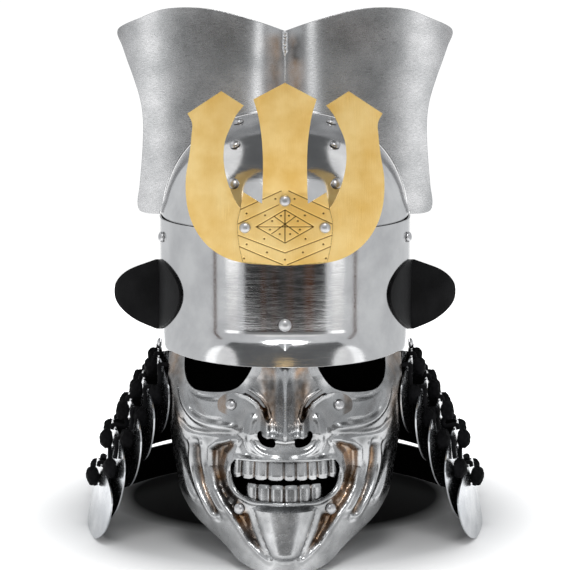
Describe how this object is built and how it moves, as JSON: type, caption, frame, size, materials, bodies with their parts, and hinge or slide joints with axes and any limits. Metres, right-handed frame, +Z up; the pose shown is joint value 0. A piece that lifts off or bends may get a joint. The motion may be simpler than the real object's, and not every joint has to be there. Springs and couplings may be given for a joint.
{
  "type": "samurai helmet with face mask",
  "caption": "Polished steel samurai helmet with a two-lobed crest, brass horned ornament, black side plates, laced neck guard and a grimacing face mask.",
  "frame": {"origin": "on the ground below the middle of the whole helmet", "axes": "the face looks along -Y, +X is to the right of a person who faces the mask, +Z is up"},
  "size_m": [0.3366, 0.3806, 0.4285],
  "materials": {
    "steel": "polished, with fine scratches",
    "rivet_steel": "polished",
    "brass": "satin, brushed upright",
    "black_plate": "satin black",
    "cord": "matt black braided cord"
  },
  "bodies": {
    "root": {"band_rivet_left": "rivet_steel", "band_rivet_right": "rivet_steel", "brow_band": "steel", "brow_rivet": "rivet_steel", "cheek_rivet_left": "rivet_steel", "cheek_rivet_right": "rivet_steel", "chin_rivet_left": "rivet_steel", "chin_rivet_right": "rivet_steel", "crest": "steel", "crest_rim": "steel", "dome": "steel", "dome_rivet_left_1": "rivet_steel", "dome_rivet_left_2": "rivet_steel", "dome_rivet_left_3": "rivet_steel", "dome_rivet_right_1": "rivet_steel", "dome_rivet_right_2": "rivet_steel", "dome_rivet_right_3": "rivet_steel", "lacing_back": "cord", "lacing_front_left": "cord", "lacing_front_right": "cord", "lacing_near_back_left": "cord", "lacing_near_back_right": "cord", "lacing_rear_left": "cord", "lacing_rear_right": "cord", "lacing_rear_side_left": "cord", "lacing_rear_side_right": "cord", "lacing_side_left": "cord", "lacing_side_right": "cord", "lower_teeth": "steel", "mask_face": "steel", "neck_lame_1": "steel", "neck_lame_2": "steel", "neck_lame_3": "steel", "neck_lame_4": "steel", "neck_lame_5": "steel", "neck_lame_6": "steel", "neck_pin_left": "rivet_steel", "neck_pin_right": "rivet_steel", "nose_plate": "steel", "ornament_blade": "brass", "ornament_horns": "brass", "ornament_rivet_left": "rivet_steel", "ornament_rivet_right": "rivet_steel", "ornament_rivet_top": "rivet_steel", "side_plate_left": "black_plate", "side_plate_right": "black_plate", "upper_teeth": "steel"}
  },
  "joints": []
}
